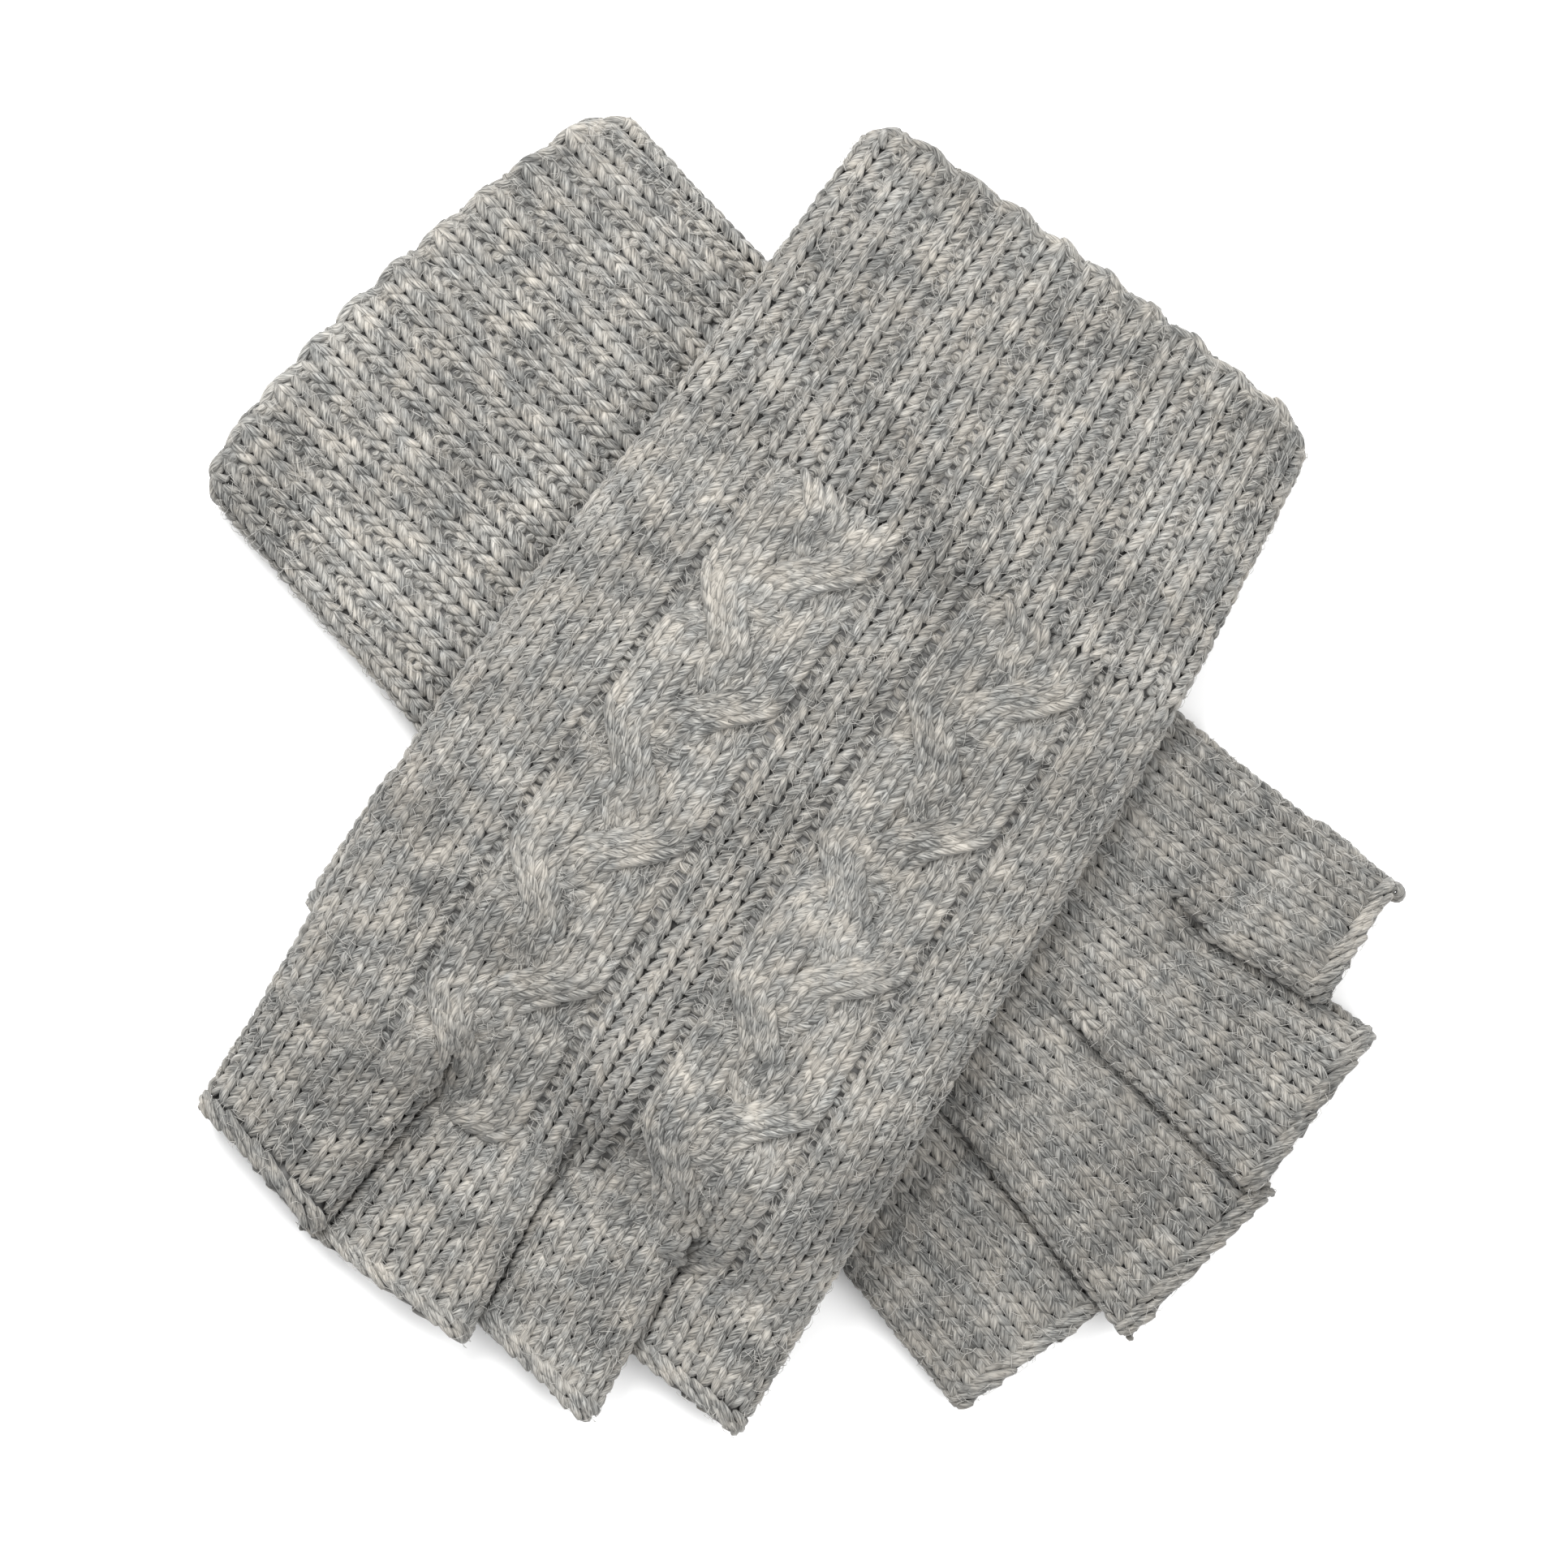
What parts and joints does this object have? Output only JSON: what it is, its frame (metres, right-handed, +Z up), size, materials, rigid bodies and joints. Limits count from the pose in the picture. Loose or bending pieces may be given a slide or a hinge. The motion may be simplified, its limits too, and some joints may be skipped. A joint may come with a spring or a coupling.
{
  "type": "fingerless gloves",
  "caption": "Crossed pair of thick wool half-finger gloves with long ribbed cuffs and plait cables on the backs, laid flat.",
  "frame": {"origin": "centre of the pair's footprint, on the surface they lie on", "axes": "+Z up from the table; both gloves' cuffs lie towards +Y, their fingers towards -Y"},
  "size_m": [0.1852, 0.2059, 0.028],
  "materials": {
    "knit_wool": "grey marl wool, plain stocking stitch",
    "rib_wool": "grey marl wool, ribbed",
    "cable_wool": "grey marl wool, plait cables",
    "edge_wool": "grey marl wool, bound-off edge"
  },
  "bodies": {
    "right_glove": {"right_cuff_back": "rib_wool", "right_cuff_palm": "rib_wool", "right_cuff_index_side": "rib_wool", "right_cuff_little_side": "rib_wool", "right_cuff_edge": "edge_wool", "right_hand_back": "knit_wool", "right_hand_palm": "knit_wool", "right_hand_index_side": "knit_wool", "right_hand_little_side": "knit_wool", "right_index_cable": "cable_wool", "right_little_cable": "cable_wool", "right_finger_crotches": "knit_wool", "right_thumb_tube": "knit_wool", "right_thumb_rim": "edge_wool"},
    "left_glove": {"left_hand_back": "knit_wool", "left_hand_palm": "knit_wool", "left_hand_index_side": "knit_wool", "left_hand_little_side": "knit_wool", "left_index_cable": "cable_wool", "left_little_cable": "cable_wool", "left_finger_crotches": "knit_wool", "left_thumb_tube": "knit_wool", "left_thumb_rim": "edge_wool"},
    "left_cuff": {"left_cuff_back": "rib_wool", "left_cuff_palm": "rib_wool", "left_cuff_index_side": "rib_wool", "left_cuff_little_side": "rib_wool", "left_cuff_edge": "edge_wool"},
    "right_index_finger": {"right_index_tube": "knit_wool", "right_index_rim": "edge_wool"},
    "right_middle_finger": {"right_middle_tube": "knit_wool", "right_middle_rim": "edge_wool"},
    "right_ring_finger": {"right_ring_tube": "knit_wool", "right_ring_rim": "edge_wool"},
    "right_little_finger": {"right_little_tube": "knit_wool", "right_little_rim": "edge_wool"},
    "left_index_finger": {"left_index_tube": "knit_wool", "left_index_rim": "edge_wool"},
    "left_middle_finger": {"left_middle_tube": "knit_wool", "left_middle_rim": "edge_wool"},
    "left_ring_finger": {"left_ring_tube": "knit_wool", "left_ring_rim": "edge_wool"},
    "left_little_finger": {"left_little_tube": "knit_wool", "left_little_rim": "edge_wool"}
  },
  "joints": [
    {"name": "left_glove_lift", "type": "slide", "parent": "right_glove", "child": "left_glove", "axis": [0, 0, 1], "range_m": [0, 0.08]},
    {"name": "left_cuff_fold", "type": "hinge", "parent": "left_glove", "child": "left_cuff", "pos_m": [0.01894, 0.03392, 0.019], "axis": [0.8387, -0.5446, 0], "range_deg": [0, 60]},
    {"name": "right_index_fold", "type": "hinge", "parent": "right_glove", "child": "right_index_finger", "pos_m": [0.01915, -0.06954, 0.0099], "axis": [-0.7314, -0.682, 0], "range_deg": [0, 70]},
    {"name": "right_middle_fold", "type": "hinge", "parent": "right_glove", "child": "right_middle_finger", "pos_m": [0.03838, -0.0516, 0.0099], "axis": [-0.7314, -0.682, 0], "range_deg": [0, 70]},
    {"name": "right_ring_fold", "type": "hinge", "parent": "right_glove", "child": "right_ring_finger", "pos_m": [0.0563, -0.0349, 0.0099], "axis": [-0.7314, -0.682, 0], "range_deg": [0, 70]},
    {"name": "right_little_fold", "type": "hinge", "parent": "right_glove", "child": "right_little_finger", "pos_m": [0.07433, -0.01808, 0.0099], "axis": [-0.7314, -0.682, 0], "range_deg": [0, 70]},
    {"name": "left_index_fold", "type": "hinge", "parent": "left_glove", "child": "left_index_finger", "pos_m": [-0.06886, -0.04142, 0.01307], "axis": [-0.8387, 0.5446, 0], "range_deg": [0, 70]},
    {"name": "left_middle_fold", "type": "hinge", "parent": "left_glove", "child": "left_middle_finger", "pos_m": [-0.04718, -0.0555, 0.01118], "axis": [-0.8387, 0.5446, 0], "range_deg": [0, 70]},
    {"name": "left_ring_fold", "type": "hinge", "parent": "left_glove", "child": "left_ring_finger", "pos_m": [-0.02789, -0.06803, 0.01241], "axis": [-0.8387, 0.5446, 0], "range_deg": [0, 70]},
    {"name": "left_little_fold", "type": "hinge", "parent": "left_glove", "child": "left_little_finger", "pos_m": [-0.00856, -0.08058, 0.01542], "axis": [-0.8387, 0.5446, 0], "range_deg": [0, 70]}
  ]
}
